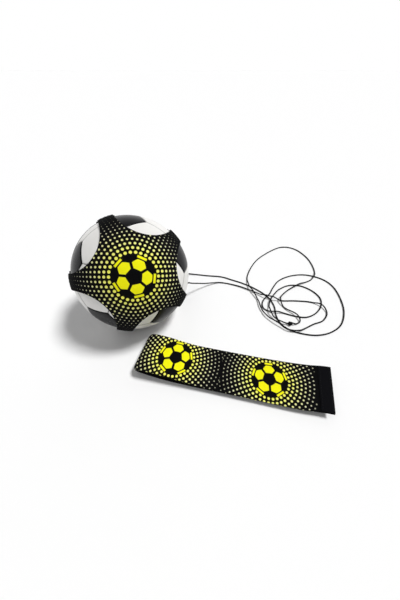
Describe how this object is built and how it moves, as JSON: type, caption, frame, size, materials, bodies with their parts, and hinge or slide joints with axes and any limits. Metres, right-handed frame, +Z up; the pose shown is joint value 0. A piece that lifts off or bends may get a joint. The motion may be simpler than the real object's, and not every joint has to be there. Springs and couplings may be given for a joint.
{
  "type": "solo football kick trainer",
  "caption": "Panelled football held in a star-shaped stretch cover with a drawn elastic cord, and a folded hook-and-loop waist belt, for kicking practice alone.",
  "frame": {"origin": "the point where the ball stands on the floor", "axes": "+X to the right of the ball, along the way the cord is laid; +Y away from the viewer; +Z up"},
  "size_m": [0.5932, 0.5063, 0.2238],
  "materials": {
    "panel_white": "glossy",
    "panel_black": "glossy",
    "bladder_rubber": "matte",
    "valve_rubber": "matte",
    "lining_cloth": "matte",
    "printed_stretch_fabric": "matte",
    "belt_fabric": "matte",
    "elastic_cord": "matte",
    "hook_tape": "matte",
    "loop_tape": "matte",
    "thread": "matte"
  },
  "bodies": {
    "ball": {"ball_bladder": "bladder_rubber", "ball_lining": "lining_cloth", "ball_pentagon_panels": "panel_black", "ball_hexagon_panels": "panel_white", "ball_valve": "valve_rubber", "cover_star": "printed_stretch_fabric", "draw_cord": "elastic_cord", "cord_strand_a": "elastic_cord", "cord_strand_b": "elastic_cord", "cord_knot": "elastic_cord"},
    "arm_1": {"cover_arm_1": "printed_stretch_fabric", "arm_stitching_1": "thread"},
    "arm_2": {"cover_arm_2": "printed_stretch_fabric", "arm_stitching_2": "thread"},
    "arm_3": {"cover_arm_3": "printed_stretch_fabric", "arm_stitching_3": "thread"},
    "arm_4": {"cover_arm_4": "printed_stretch_fabric", "arm_stitching_4": "thread"},
    "arm_5": {"cover_arm_5": "printed_stretch_fabric", "arm_stitching_5": "thread"},
    "belt_lower_half": {"belt_lower": "belt_fabric", "belt_fold": "belt_fabric", "belt_hook_patch": "hook_tape", "hook_stitching": "thread"},
    "belt_upper_half": {"belt_upper": "belt_fabric", "belt_loop_patch": "loop_tape", "loop_stitching": "thread"}
  },
  "joints": [
    {"name": "arm_1_lift", "type": "hinge", "parent": "ball", "child": "arm_1", "pos_m": [0.08707, 0.01356, 0.18208], "axis": [0.6389, -0.2668, -0.7216], "range_deg": [0, 30], "stiffness_Nm_per_rad": 0.05, "springref_deg": -20.05, "deforming": ["draw_cord"]},
    {"name": "arm_2_lift", "type": "hinge", "parent": "ball", "child": "arm_2", "pos_m": [-0.02079, -0.00103, 0.22193], "axis": [0.8668, 0.4705, 0.1653], "range_deg": [0, 30], "stiffness_Nm_per_rad": 0.05, "springref_deg": -20.05, "deforming": ["draw_cord"]},
    {"name": "arm_3_lift", "type": "hinge", "parent": "ball", "child": "arm_3", "pos_m": [-0.07549, -0.07467, 0.15108], "axis": [-0.1032, 0.5575, 0.8237], "range_deg": [0, 30], "stiffness_Nm_per_rad": 0.05, "springref_deg": -20.05, "deforming": ["draw_cord"]},
    {"name": "arm_4_lift", "type": "hinge", "parent": "ball", "child": "arm_4", "pos_m": [-0.00144, -0.10559, 0.06745], "axis": [-0.9306, -0.1259, 0.3438], "range_deg": [0, 30], "stiffness_Nm_per_rad": 0.05, "springref_deg": -20.05, "deforming": ["draw_cord"]},
    {"name": "arm_5_lift", "type": "hinge", "parent": "ball", "child": "arm_5", "pos_m": [0.09903, -0.05106, 0.08661], "axis": [-0.472, -0.6353, -0.6112], "range_deg": [0, 30], "stiffness_Nm_per_rad": 0.05, "springref_deg": -20.05, "deforming": ["draw_cord"]},
    {"name": "belt_draw_out", "type": "slide", "parent": "ball", "child": "belt_lower_half", "axis": [0.9751, -0.2215, 0], "range_m": [0, 0.2]},
    {"name": "belt_unfold", "type": "hinge", "parent": "belt_lower_half", "child": "belt_upper_half", "pos_m": [0.02439, -0.12, 0.0045], "axis": [-0.2215, -0.9751, 0], "range_deg": [0, 55], "deforming": ["belt_fold"]}
  ]
}
